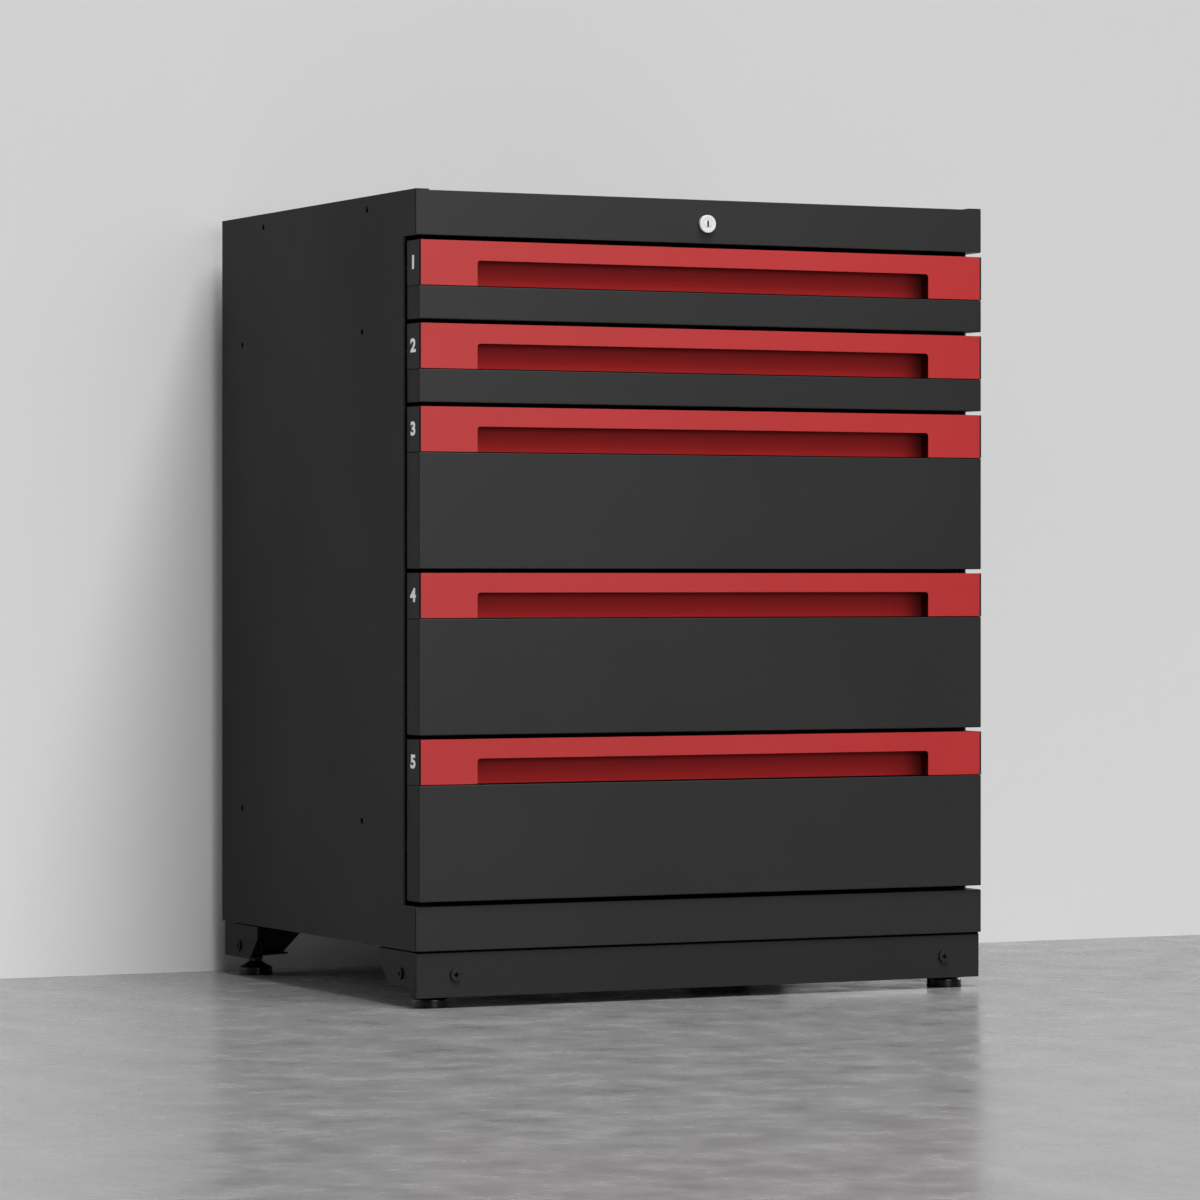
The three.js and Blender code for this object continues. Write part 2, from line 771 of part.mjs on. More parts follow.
piece(cabinet, "lock_barrel", lockBarrel(), M.chrome, [LOCK_X, 0, LOCK_Z]);
piece(cabinet, "lock_plug", lockPlug(), M.chrome, [LOCK_X, 0, LOCK_Z]);
piece(cabinet, "lock_bar", lockBar(), M.zinc);

const rail = middleRail();
const railRight = handed(rail);
const byHeight = new Map();
DRAWERS.forEach((d, i) => {
  const n = i + 1;
  const at = [0, RAIL_FRONT, railZ(d)];
  piece(cabinet, "middle_rail_left_" + n, rail, M.zinc, at);
  piece(cabinet, "middle_rail_right_" + n, railRight, M.zinc, at);

  if (!byHeight.has(d.h)) {
    const cap = handleCap(d.h);
    byHeight.set(d.h, {
      box: drawerBox(d.h),
      front: drawerFront(d.h),
      handle: drawerHandle(d.h),
      capLeft: cap,
      capRight: handed(cap),
    });
  }
  const g = byHeight.get(d.h);
  const drawer = new THREE.Group();
  drawer.position.z = d.z;
  cabinet.add(drawer);
  piece(drawer, "drawer_box_" + n, g.box, M.box);
  piece(drawer, "drawer_front_" + n, g.front, M.front);
  piece(drawer, "drawer_handle_" + n, g.handle, M.red);
  piece(drawer, "handle_cap_left_" + n, g.capLeft, M.cap);
  piece(drawer, "handle_cap_right_" + n, g.capRight, M.cap);
});

export default group;
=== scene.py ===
"""Drawer cabinet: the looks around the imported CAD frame. Metres, +Z up, front towards -Y."""

import json
import math

import bmesh
import bpy
from mathutils import Matrix, Vector
from mathutils.bvhtree import BVHTree

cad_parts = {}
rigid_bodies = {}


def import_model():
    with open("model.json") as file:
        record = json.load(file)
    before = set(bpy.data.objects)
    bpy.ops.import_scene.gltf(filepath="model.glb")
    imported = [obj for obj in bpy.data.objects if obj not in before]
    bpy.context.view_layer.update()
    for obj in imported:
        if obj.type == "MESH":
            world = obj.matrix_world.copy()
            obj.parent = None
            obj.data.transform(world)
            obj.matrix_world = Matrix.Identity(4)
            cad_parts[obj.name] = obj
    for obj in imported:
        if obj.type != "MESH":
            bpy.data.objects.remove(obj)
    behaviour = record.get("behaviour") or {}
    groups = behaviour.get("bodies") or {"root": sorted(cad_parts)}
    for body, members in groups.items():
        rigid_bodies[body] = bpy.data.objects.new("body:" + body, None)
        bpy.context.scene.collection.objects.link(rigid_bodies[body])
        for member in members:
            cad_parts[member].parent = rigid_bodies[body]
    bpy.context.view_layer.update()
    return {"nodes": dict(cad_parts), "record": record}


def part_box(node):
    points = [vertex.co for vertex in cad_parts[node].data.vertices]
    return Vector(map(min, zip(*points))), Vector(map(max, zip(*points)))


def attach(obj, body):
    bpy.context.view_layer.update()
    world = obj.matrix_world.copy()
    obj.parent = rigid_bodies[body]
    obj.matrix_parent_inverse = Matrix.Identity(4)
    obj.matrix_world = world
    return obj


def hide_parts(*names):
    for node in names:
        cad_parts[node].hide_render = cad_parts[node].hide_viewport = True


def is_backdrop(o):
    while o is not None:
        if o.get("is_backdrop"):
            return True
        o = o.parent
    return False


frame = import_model()
NODES = frame["nodes"]
BODY_OF = {
    n: b for b, ns in frame["record"]["behaviour"]["bodies"].items() for n in ns
}
SLOT_OF = {s["node"]: s["material_slot"] for s in frame["record"]["subparts"]}
MM = 0.001

# The construction frame: x from the left side, y from the fascia face, z from the floor.
WIDTH = 782.0
Y_SHIFT = 310.5


def at(x, y, z):
    """A point given in cabinet millimetres, in the row frame in metres."""
    return Vector(((x - WIDTH / 2) * MM, (y - Y_SHIFT) * MM, z * MM))


# ------------------------------------------------------------------ materials
def new_material(name):
    m = bpy.data.materials.new(name)
    m.use_nodes = True
    nt = m.node_tree
    nt.nodes.clear()
    out = nt.nodes.new("ShaderNodeOutputMaterial")
    bsdf = nt.nodes.new("ShaderNodeBsdfPrincipled")
    nt.links.new(bsdf.outputs["BSDF"], out.inputs["Surface"])
    return m, nt, bsdf


def node(nt, kind, **values):
    n = nt.nodes.new(kind)
    for k, v in values.items():
        if k in n.inputs:
            n.inputs[k].default_value = v
        else:
            setattr(n, k, v)
    return n


def noise(nt, coords, scale, detail=2.0, rough=0.5, stretch=None):
    if stretch:
        m = nt.nodes.new("ShaderNodeMapping")
        m.inputs["Scale"].default_value = stretch
        nt.links.new(coords, m.inputs["Vector"])
        coords = m.outputs["Vector"]
    n = nt.nodes.new("ShaderNodeTexNoise")
    n.inputs["Scale"].default_value = scale
    n.inputs["Detail"].default_value = detail
    n.inputs["Roughness"].default_value = rough
    nt.links.new(coords, n.inputs["Vector"])
    return n.outputs["Fac"]


def remap(nt, value, lo, hi, from_lo=0.3, from_hi=0.7):
    n = nt.nodes.new("ShaderNodeMapRange")
    n.inputs["From Min"].default_value = from_lo
    n.inputs["From Max"].default_value = from_hi
    n.inputs["To Min"].default_value = lo
    n.inputs["To Max"].default_value = hi
    nt.links.new(value, n.inputs["Value"])
    return n.outputs["Result"]


def mix_color(nt, fac, a, b):
    n = nt.nodes.new("ShaderNodeMix")
    n.data_type = "RGBA"
    n.inputs[6].default_value = (*a, 1)
    n.inputs[7].default_value = (*b, 1)
    nt.links.new(fac, n.inputs[0])
    return n.outputs[2]


def coords_of(nt):
    return nt.nodes.new("ShaderNodeTexCoord").outputs["Object"]


def srgb(r, g, b):
    def f(c):
        c /= 255.0
        return c / 12.92 if c <= 0.04045 else ((c + 0.055) / 1.055) ** 2.4

    return (f(r), f(g), f(b))


def scaled(c, k):
    return tuple(min(1.0, x * k) for x in c)


def ramp(nt, value, stops):
    """A grey value along stops (position, level)."""
    n = nt.nodes.new("ShaderNodeValToRGB")
    r = n.color_ramp
    while len(r.elements) < len(stops):
        r.elements.new(0.5)
    for e, (pos, level) in zip(r.elements, stops):
        e.position = pos
        e.color = (level, level, level, 1)
    nt.links.new(value, n.inputs["Fac"])
    return n.outputs["Color"]


def multiply(nt, a, b):
    n = nt.nodes.new("ShaderNodeMix")
    n.data_type = "RGBA"
    n.blend_type = "MULTIPLY"
    n.inputs[0].default_value = 1.0
    nt.links.new(a, n.inputs[6])
    nt.links.new(b, n.inputs[7])
    return n.outputs[2]


def powder_coat(name, color, rough=0.45, grain=0.35, spread=0.05, specular=0.5, shade=None):
    """Powder coat: fine orange peel, faint speckle and slow changes of tone and gloss."""
    m, nt, b = new_material(name)
    c = coords_of(nt)
    slow = noise(nt, c, 3.5, 3.0, 0.55)
    speck = noise(nt, c, 900.0, 1.0, 0.5)
    tone = nt.nodes.new("ShaderNodeMath")
    tone.operation = "MULTIPLY_ADD"
    tone.inputs[1].default_value = 0.65
    nt.links.new(slow, tone.inputs[0])
    k = nt.nodes.new("ShaderNodeMath")
    k.operation = "MULTIPLY"
    k.inputs[1].default_value = 0.35
    nt.links.new(speck, k.inputs[0])
    nt.links.new(k.outputs[0], tone.inputs[2])
    fac = remap(nt, tone.outputs[0], 0.0, 1.0, 0.35, 0.65)
    tint = mix_color(nt, fac, scaled(color, 1 - spread), scaled(color, 1 + spread))
    if shade:
        tint = multiply(nt, tint, shade(nt, c))
    nt.links.new(tint, b.inputs["Base Color"])
    nt.links.new(remap(nt, slow, rough - 0.03, rough + 0.04), b.inputs["Roughness"])
    b.inputs["Specular IOR Level"].default_value = specular
    peel = noise(nt, c, 520.0, 2.0, 0.6)
    bump = nt.nodes.new("ShaderNodeBump")
    bump.inputs["Strength"].default_value = grain
    bump.inputs["Distance"].default_value = 0.00006
    nt.links.new(peel, bump.inputs["Height"])
    nt.links.new(bump.outputs["Normal"], b.inputs["Normal"])
    return m


def moulded_plastic(name, color, rough=0.5, grain=0.25, specular=0.5):
    m, nt, b = new_material(name)
    c = coords_of(nt)
    slow = noise(nt, c, 30.0, 2.0)
    fine = noise(nt, c, 1800.0, 2.0, 0.7)
    nt.links.new(
        mix_color(nt, remap(nt, slow, 0, 1), scaled(color, 0.93), scaled(color, 1.08)),
        b.inputs["Base Color"],
    )
    nt.links.new(remap(nt, fine, rough - 0.06, rough + 0.08), b.inputs["Roughness"])
    b.inputs["Specular IOR Level"].default_value = specular
    bump = nt.nodes.new("ShaderNodeBump")
    bump.inputs["Strength"].default_value = grain
    bump.inputs["Distance"].default_value = 0.00004
    nt.links.new(fine, bump.inputs["Height"])
    nt.links.new(bump.outputs["Normal"], b.inputs["Normal"])
    return m


def plated_steel(name, color, rough=0.3, stretch=(40, 1, 40), spread=0.12):
    """Zinc-plated or rolled sheet: fine lines along the part and cloudy plating."""
    m, nt, b = new_material(name)
    c = coords_of(nt)
    lines = noise(nt, c, 60.0, 3.0, 0.6, stretch)
    cloud = noise(nt, c, 22.0, 4.0, 0.6)
    nt.links.new(
        mix_color(nt, remap(nt, cloud, 0, 1), scaled(color, 1 - spread), scaled(color, 1 + spread * 0.5)),
        b.inputs["Base Color"],
    )
    nt.links.new(remap(nt, lines, rough - 0.08, rough + 0.12), b.inputs["Roughness"])
    b.inputs["Metallic"].default_value = 1.0
    bump = nt.nodes.new("ShaderNodeBump")
    bump.inputs["Strength"].default_value = 0.15
    bump.inputs["Distance"].default_value = 0.00003
    nt.links.new(lines, bump.inputs["Height"])
    nt.links.new(bump.outputs["Normal"], b.inputs["Normal"])
    return m


def polished(name, color, rough=0.12, metallic=1.0):
    m, nt, b = new_material(name)
    c = coords_of(nt)
    haze = noise(nt, c, 260.0, 3.0, 0.6)
    nt.links.new(remap(nt, haze, rough - 0.03, rough + 0.06), b.inputs["Roughness"])
    nt.links.new(
        mix_color(nt, remap(nt, haze, 0, 1), scaled(color, 0.97), scaled(color, 1.02)),
        b.inputs["Base Color"],
    )
    b.inputs["Metallic"].default_value = metallic
    return m


MAT = {
    "body_paint": powder_coat("body_powder_coat", srgb(40, 41, 40), 0.4, spread=0.05, specular=0.45),
    "front_paint": powder_coat("front_powder_coat", srgb(40, 41, 40), 0.4, spread=0.05, specular=0.45),
    "box_paint": powder_coat("drawer_box_powder_coat", srgb(52, 54, 54), 0.5, spread=0.05),
    "handle_red": powder_coat("handle_red_coat", srgb(194, 39, 40), 0.42, grain=0.25, spread=0.03, specular=0.7),
    "cap_plastic": moulded_plastic("cap_black_plastic", srgb(21, 23, 23), 0.48, specular=0.12),
    "rail_zinc": plated_steel("rail_zinc_plate", (0.62, 0.63, 0.65), 0.32),
    "lock_chrome": polished("lock_nickel_chrome", (0.86, 0.86, 0.87), 0.36, 0.5),
    # black for screw walls and cross recesses, the lock washer and the keyway: painted shade
    "screw_black": moulded_plastic("screw_black_painted_shade", srgb(5, 5, 5), 0.6, 0.15, 0.06),
    "foot_plastic": moulded_plastic("foot_black_plastic", srgb(9, 9, 9), 0.26, specular=0.55),
    "stem_steel": plated_steel("stem_black_steel", (0.07, 0.07, 0.072), 0.38, (3, 3, 3)),
}


SCREW_FACE = powder_coat("screw_face_coat", srgb(40, 41, 40), 0.44, spread=0.04, specular=0.3)
# a darker, matter copy of the dark paint for faces turned to the sides: painted shade
SIDE_PAINTED_SHADE_COAT = powder_coat("side_painted_shade_coat", srgb(22, 23, 22), 0.5, spread=0.05, specular=0.11)


def digit_material():
    m, nt, b = new_material("number_white_print")
    c = coords_of(nt)
    fine = noise(nt, c, 1500.0, 2.0)
    nt.links.new(
        mix_color(nt, remap(nt, fine, 0, 1), srgb(242, 243, 243), srgb(250, 251, 251)),
        b.inputs["Base Color"],
    )
    b.inputs["Roughness"].default_value = 0.5
    return m


WHITE_PRINT = digit_material()
# black for strips in the joints' gaps, standing in for the shadow there: painted shadow
SHADOW_GAP_BLACK = moulded_plastic("joint_gap_painted_shadow_black", srgb(3, 3, 3), 0.85, specular=0.03)
# a darker copy of the body paint for the kick plate: painted shade low down near the floor
KICK_PAINTED_SHADE_COAT = powder_coat("kick_plate_painted_shade_coat", srgb(36, 37, 36), 0.42, spread=0.05, specular=0.4)
# near-black red for the finger recesses' end walls: painted shade
RECESS_END_PAINTED_SHADE = powder_coat("handle_recess_end_painted_shade", srgb(84, 10, 11), 0.6, grain=0.25, spread=0.04, specular=0.08)


def recess_coat(i, low, top, right):
    """Painted shade in one finger recess: the red coat is deepest in tone high up and at its end."""

    def shade(nt, c):
        split = nt.nodes.new("ShaderNodeSeparateXYZ")
        nt.links.new(c, split.inputs[0])
        up = remap(nt, split.outputs[2], 0.0, 1.0, low, top)
        along = remap(nt, split.outputs[0], 0.0, 1.0, right - 0.08, right)
        return multiply(
            nt,
            ramp(nt, up, [(0.0, 0.94), (0.22, 1.0), (0.5, 0.8), (0.78, 0.58), (1.0, 0.36)]),
            ramp(nt, along, [(0.0, 1.0), (0.35, 0.96), (0.65, 0.84), (0.76, 0.62), (0.86, 0.36), (1.0, 0.12)]),
        )

    return powder_coat(
        f"handle_recess_coat_{i}", srgb(206, 48, 49), 0.6, grain=0.25, spread=0.03, specular=0.1, shade=shade
    )


def satin_nickel():
    """The lock's face: fine satin plating, nearly white, with faint concentric polishing."""
    m, nt, b = new_material("lock_satin_face")
    c = coords_of(nt)
    fine = noise(nt, c, 900.0, 3.0, 0.6)
    nt.links.new(
        mix_color(nt, remap(nt, fine, 0, 1), srgb(232, 233, 232), srgb(242, 243, 242)),
        b.inputs["Base Color"],
    )
    nt.links.new(remap(nt, fine, 0.34, 0.46), b.inputs["Roughness"])
    b.inputs["Specular IOR Level"].default_value = 0.6
    bump = nt.nodes.new("ShaderNodeBump")
    bump.inputs["Strength"].default_value = 0.12
    bump.inputs["Distance"].default_value = 0.00003
    nt.links.new(fine, bump.inputs["Height"])
    nt.links.new(bump.outputs["Normal"], b.inputs["Normal"])
    return m


LOCK_FACE = satin_nickel()


# ------------------------------------------------------- refining CAD meshes
def clean_bmesh(bm):
    bmesh.ops.remove_doubles(bm, verts=bm.verts, dist=4e-6)
    bmesh.ops.dissolve_degenerate(bm, edges=bm.edges, dist=1e-6)
    bmesh.ops.dissolve_limit(
        bm,
        angle_limit=math.radians(0.5),
        use_dissolve_boundaries=False,
        verts=bm.verts,
        edges=bm.edges,
    )
    bmesh.ops.recalc_face_normals(bm, faces=bm.faces)


def thickness(tree, p, direction):
    hit = tree.ray_cast(p, direction)
    return hit[3] if hit[3] is not None else 1.0


def set_edges(bm, fold, cut, thin=2.6 * MM, width=2.0 * MM, choose=None):
    """Bevel weights: the outside of a fold is rounded wide, a cut sheet edge a little."""
    tree = BVHTree.FromBMesh(bm)
    layer = bm.edges.layers.float.get("bevel_weight_edge") or bm.edges.layers.float.new(
        "bevel_weight_edge"
    )
    for e in bm.edges:
        if len(e.link_faces) != 2:
            continue
        a = e.calc_face_angle(0.0)
        e.smooth = a < math.radians(32)
        if e.smooth or not e.is_convex:
            continue
        n1, n2 = e.link_faces[0].normal, e.link_faces[1].normal
        mid = (e.verts[0].co + e.verts[1].co) / 2
        inside = mid - (n1 + n2) * 0.15 * MM
        t = min(thickness(tree, inside, -n1), thickness(tree, inside, -n2))
        w = cut if t < thin else fold
        if choose:
            w = choose(e, mid, n1, n2, t, w)
        e[layer] = min(1.0, w / width)


def evaluated(obj):
    """Puts the modifiers' result into the mesh."""
    dg = bpy.context.evaluated_depsgraph_get()
    mesh = bpy.data.meshes.new_from_object(obj.evaluated_get(dg))
    obj.modifiers.clear()
    obj.data = mesh
    return obj


def link(name, mesh):
    obj = bpy.data.objects.new(name, mesh)
    bpy.context.scene.collection.objects.link(obj)
    return obj


def bevelled(obj, width=2.0 * MM, segments=3):
    for p in obj.data.polygons:
        p.use_smooth = True
    m = obj.modifiers.new("Bevel", "BEVEL")
    m.limit_method = "WEIGHT"
    m.width = width
    m.segments = segments
    m.harden_normals = True
    m.use_clamp_overlap = True
    m.miter_outer = "MITER_SHARP"
    return evaluated(obj)


def dress(obj, body, slot, replaces=(), keep=False):
    if not keep:
        obj.data.materials.clear()
        obj.data.materials.append(MAT[slot])
    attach(obj, body)
    if replaces:
        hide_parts(*replaces)
    return obj


def refine(name, fold=1.2 * MM, cut=0.25 * MM, segments=3, choose=None, extra=None):
    """A finely finished copy of a CAD node, in the same place, that stands for it."""
    bm = bmesh.new()
    bm.from_mesh(NODES[name].data)
    clean_bmesh(bm)
    if extra:
        extra(bm)
    set_edges(bm, fold, cut, choose=choose)
    mesh = bpy.data.meshes.new(name + "_skin")
    bm.to_mesh(mesh)
    bm.free()
    obj = link(name + "_skin", mesh)
    bevelled(obj, segments=segments)
    dress(obj, BODY_OF[name], SLOT_OF[name], [name])
    if SLOT_OF[name] in ("body_paint", "front_paint"):
        # a folded sheet's faces turned to the sides get a darker, matter copy of the paint: painted shade
        obj.data.materials.append(SIDE_PAINTED_SHADE_COAT)
        for p in obj.data.polygons:
            if abs(p.normal.x) > 0.7:
                p.material_index = 1
    return obj


# ------------------------------------------------------------ turned pieces
def lathe(profile, sides=64):
    """A closed turned mesh about +Z from (r, z) points in mm that start and end on the axis."""
    bm = bmesh.new()
    rings = []
    for r, z in profile:
        if r < 1e-9:
            rings.append([bm.verts.new((0, 0, z * MM))])
        else:
            rings.append(
                [
                    bm.verts.new(
                        (
                            r * MM * math.cos(2 * math.pi * i / sides),
                            r * MM * math.sin(2 * math.pi * i / sides),
                            z * MM,
                        )
                    )
                    for i in range(sides)
                ]
            )
    for a, b in zip(rings, rings[1:]):
        for i in range(sides):
            j = (i + 1) % sides
            if len(a) == 1 and len(b) == 1:
                continue
            if len(a) == 1:
                bm.faces.new((a[0], b[i], b[j]))
            elif len(b) == 1:
                bm.faces.new((a[i], b[0], a[j]))
            else:
                bm.faces.new((a[i], b[i], b[j], a[j]))
    if len(rings[0]) > 1 and len(rings[-1]) > 1:
        a, b = rings[-1], rings[0]
        for i in range(sides):
            j = (i + 1) % sides
            bm.faces.new((a[i], b[i], b[j], a[j]))
    bmesh.ops.recalc_face_normals(bm, faces=bm.faces)
    return bm


def box_bm(bm, lo, hi):
    """Adds a box between two corners, in metres, to a bmesh."""
    made = bmesh.ops.create_cube(bm, size=1.0)["verts"]
    lo, hi = Vector(lo), Vector(hi)
    for v in made:
        v.co = Vector(
            (
                lo[i] + (v.co[i] + 0.5) * (hi[i] - lo[i])
                for i in range(3)
            )
        )
    return made


def to_object(bm, name, matrix=None, smooth_angle=32):
    if matrix is not None:
        bmesh.ops.transform(bm, matrix=matrix, verts=bm.verts)
    for e in bm.edges:
        if len(e.link_faces) == 2:
            e.smooth = e.calc_face_angle(0.0) < math.radians(smooth_angle)
    mesh = bpy.data.meshes.new(name)
    bm.to_mesh(mesh)
    bm.free()
    for p in mesh.polygons:
        p.use_smooth = True
    return link(name, mesh)


def cut_with(obj, cutters):
    """Boolean difference with each cutter object, applied."""
    for c in cutters:
        m = obj.modifiers.new("Cut", "BOOLEAN")
        m.operation = "DIFFERENCE"
        m.solver = "EXACT"
        m.object = c
    bpy.context.view_layer.update()
    evaluated(obj)
    for c in cutters:
        bpy.data.objects.remove(c)
    bm = bmesh.new()
    bm.from_mesh(obj.data)
    for e in bm.edges:
        if len(e.link_faces) == 2:
            e.smooth = e.calc_face_angle(0.0) < math.radians(32)
    bm.to_mesh(obj.data)
    bm.free()
    for p in obj.data.polygons:
        p.use_smooth = True
    return obj


def pan_screw(name, head_r=7.3, head_h=2.6, shank_r=2.9, shank=11.0):
    """A flat pan-head screw along +Z: the head's seat at z 0, a cross recess in the top."""
    profile = [
        (0, head_h), (2.2, head_h - 0.01), (4.2, head_h - 0.04), (5.8, head_h - 0.08),
    ]
    for i in range(0, 6):
        a = i / 5 * math.pi / 2
        profile.append(
            (head_r - 0.45 + 0.45 * math.sin(a), head_h - 0.12 - 0.4 * (1 - math.cos(a)))
        )
    profile += [(head_r, 0.12), (head_r - 0.12, 0.0), (shank_r, 0.0)]
    profile += [(shank_r, -shank + 0.8), (shank_r - 0.8, -shank), (0, -shank)]
    screw = to_object(lathe(profile, 64), name)
    cutters = []
    for k in range(2):
        bm = bmesh.new()
        w, l, d = 0.95, 3.7, min(1.9, head_h - 0.4)
        top, low = head_h + 0.3, head_h - d
        verts = [
            (-l, -w, top), (l, -w, top), (l, w, top), (-l, w, top),
            (-l * 0.62, -w * 0.6, low), (l * 0.62, -w * 0.6, low),
            (l * 0.62, w * 0.6, low), (-l * 0.62, w * 0.6, low),
        ]
        v = [bm.verts.new(Vector(p) * MM) for p in verts]
        for f in ((0, 1, 2, 3), (7, 6, 5, 4), (0, 4, 5, 1), (1, 5, 6, 2), (2, 6, 7, 3), (3, 7, 4, 0)):
            bm.faces.new([v[i] for i in f])
        bmesh.ops.recalc_face_normals(bm, faces=bm.faces)
        cutters.append(
            to_object(bm, name + f"_cut{k}", Matrix.Rotation(math.radians(90 * k), 4, "Z"))
        )
    core = lathe([(0, head_h + 0.3), (2.1, head_h + 0.3), (1.4, head_h - 2.1), (0, head_h - 2.4)], 20)
    cutters.append(to_object(core, name + "_core"))
    return cut_with(screw, cutters)


def black_but_for_the_face(obj, level, face=None):
    """The screw's wall and cross recess are black as painted shade; only the flat face takes the coat."""
    obj.data.materials.append(face or SCREW_FACE)
    for p in obj.data.polygons:
        flat = all(obj.data.vertices[v].co.z > level for v in p.vertices)
        if flat and p.normal.z > 0.6:
            p.material_index = 1


def facing(axis, where, turn=0.0):
    """A matrix that lays +Z along an axis at a point."""
    q = Vector(axis).to_track_quat("Z", "Y")
    return Matrix.Translation(where) @ q.to_matrix().to_4x4() @ Matrix.Rotation(turn, 4, "Z")


# ================================================================= carcass
CARCASS = [
    "side_panel_left",
    "side_panel_right",
    "top_panel",
    "bottom_panel",
    "back_panel",
    "kick_plate",
    "leg_bracket_front_left",
    "leg_bracket_front_right",
    "leg_bracket_rear_left",
    "leg_bracket_rear_right",
]
for n in CARCASS:
    o = refine(n, fold=1.3 * MM, cut=0.25 * MM)
    if n == "kick_plate":
        # the kick plate takes the darker copy of the paint: painted shade
        o.data.materials[0] = KICK_PAINTED_SHADE_COAT
for n in ("runner_panel_left", "runner_panel_right", "lock_bar"):
    refine(n, fold=0.5 * MM, cut=0.2 * MM, segments=2)

# ================================================================= drawers
DRAWERS = range(1, 6)
for i in DRAWERS:
    refine(f"drawer_box_{i}", fold=1.2 * MM, cut=0.25 * MM, segments=2)
    refine(f"drawer_front_{i}", fold=1.3 * MM, cut=0.25 * MM)
    o = refine(f"drawer_handle_{i}", fold=1.0 * MM, cut=0.25 * MM)
    # inside the finger recess the coat has no sheen and is darkened with painted shade; the end walls take a
    # near-black red as painted shade
    lo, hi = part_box(f"drawer_handle_{i}")
    o.data.materials.append(recess_coat(i, lo.z, hi.z - 23.5 * MM, at(WIDTH - 79, 0, 0).x))
    o.data.materials.append(RECESS_END_PAINTED_SHADE)
    for p in o.data.polygons:
        if p.center.y > lo.y + 2.2 * MM:
            p.material_index = 2 if abs(p.normal.x) > 0.7 else 1
    refine(f"handle_cap_left_{i}", fold=0.4 * MM, cut=0.35 * MM)
    refine(f"handle_cap_right_{i}", fold=0.4 * MM, cut=0.35 * MM)
    for s in ("left", "right"):
        refine(f"middle_rail_{s}_{i}", fold=0.6 * MM, cut=0.2 * MM, segments=2)

# ----------------------------------------- black strips in the joints' gaps: painted shadow
def strip(name, lo, hi, body):
    """A thin black strip with rounded long edges in a joint's gap: painted shadow."""
    bm = bmesh.new()
    box_bm(bm, lo, hi)
    o = to_object(bm, name)
    m = o.modifiers.new("round", "BEVEL")
    m.width, m.segments = 0.15 * MM, 2
    o.data.materials.append(SHADOW_GAP_BLACK)
    return dress(o, body, "cap_plastic", keep=True)


strip("kick_strip", at(2.2, 3.1, 67.2), at(WIDTH - 2.2, 5.0, 69.6), "cabinet")
for side in ("left", "right"):
    for end, y0, y1 in (("front", 3.4, 115.0), ("rear", 512.5, 623.0)):
        x0, x1 = (3.2, 5.2) if side == "left" else (WIDTH - 5.2, WIDTH - 3.2)
        strip(f"bracket_strip_{end}_{side}", at(x0, y0, 67.3), at(x1, y1, 69.6), "cabinet")
for i in DRAWERS:
    (lo, hi), (_, pan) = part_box(f"drawer_handle_{i}"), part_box(f"drawer_front_{i}")
    strip(
        f"handle_strip_{i}",
        (lo.x, lo.y + 0.2 * MM, pan.z - 0.05 * MM),
        (hi.x, lo.y + 1.4 * MM, lo.z + 0.05 * MM),
        f"drawer_{i}",
    )

# ------------------------------------------------------------- kick screws
def middle(node_name):
    lo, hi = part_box(node_name)
    return (lo + hi) / 2


for side, turn in (("left", 8), ("right", -4)):
    name = f"kick_plate_screw_{side}"
    c = middle(name)
    o = pan_screw(name + "_fine", head_h=3.1)
    o.data.materials.append(MAT["screw_black"])
    black_but_for_the_face(o, 2.6 * MM)
    o.data.transform(facing((0, -1, 0), (c.x, at(0, 2.78, 0).y, c.z), math.radians(turn)))
    dress(o, "cabinet", "screw_black", [name], keep=True)

# screws in the brackets' sides
for side, sx in (("left", 1), ("right", -1)):
    for end, y in (("front", 4.4 + 47.6), ("rear", 623.4 - 50.4)):
        name = f"bracket_screw_{end}_{side}"
        x = 2.98 if side == "left" else WIDTH - 2.98
        o = pan_screw(name, head_r=7.0, head_h=2.4)
        o.data.materials.append(MAT["screw_black"])
        # the head's face takes the darker copy of the paint: painted shade
        black_but_for_the_face(o, 1.9 * MM, SIDE_PAINTED_SHADE_COAT)
        o.data.transform(facing((-sx, 0, 0), at(x, y, 40.2), math.radians(20)))
        dress(o, "cabinet", "screw_black", keep=True)

# screws through the rear brackets' cross legs, seen from behind
for side, x in (("left", 53.0), ("right", WIDTH - 53.0)):
    o = pan_screw(f"rear_screw_{side}", head_r=7.0, head_h=2.4, shank=6.0)
    o.data.materials.append(MAT["screw_black"])
    # the head's face takes the darker copy of the paint: painted shade
    black_but_for_the_face(o, 1.9 * MM, SIDE_PAINTED_SHADE_COAT)
    o.data.transform(facing((0, 1, 0), at(x, 623.42, 40.2), math.radians(12)))
    dress(o, "cabinet", "screw_black", keep=True)

# ------------------------------------------------- blind rivets of the back
def rivet(name, x, z, r=4.4):
    """A domed blind rivet on the back sheet, with the pulled stem's pit in its middle."""
    profile = [
        (0, 0.35), (0.95, 0.35), (1.1, 0.5), (1.15, 0.92), (1.35, 1.06), (2.2, 1.12), (3.1, 1.0),
        (r - 0.5, 0.66), (r - 0.12, 0.3), (r, 0.06), (r - 0.1, 0.0), (1.6, 0.0), (1.6, -2.4), (0, -2.4),
    ]
    return to_object(lathe(profile, 36), name, facing((0, 1, 0), at(x, BACK_SHEET, z)), 40)


BACK_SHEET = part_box("back_panel")[1].y / MM + Y_SHIFT
places = [(x, z) for x in (26.0, WIDTH - 26.0) for z in (88, 236, 384, 532, 680, 828, 966)]
places += [(x, z) for x in (148, 269.5, 391, 512.5, 634) for z in (84, 970)]
for k, (x, z) in enumerate(places):
    dress(rivet(f"back_rivet_{k + 1}", x, z), "cabinet", "body_paint")

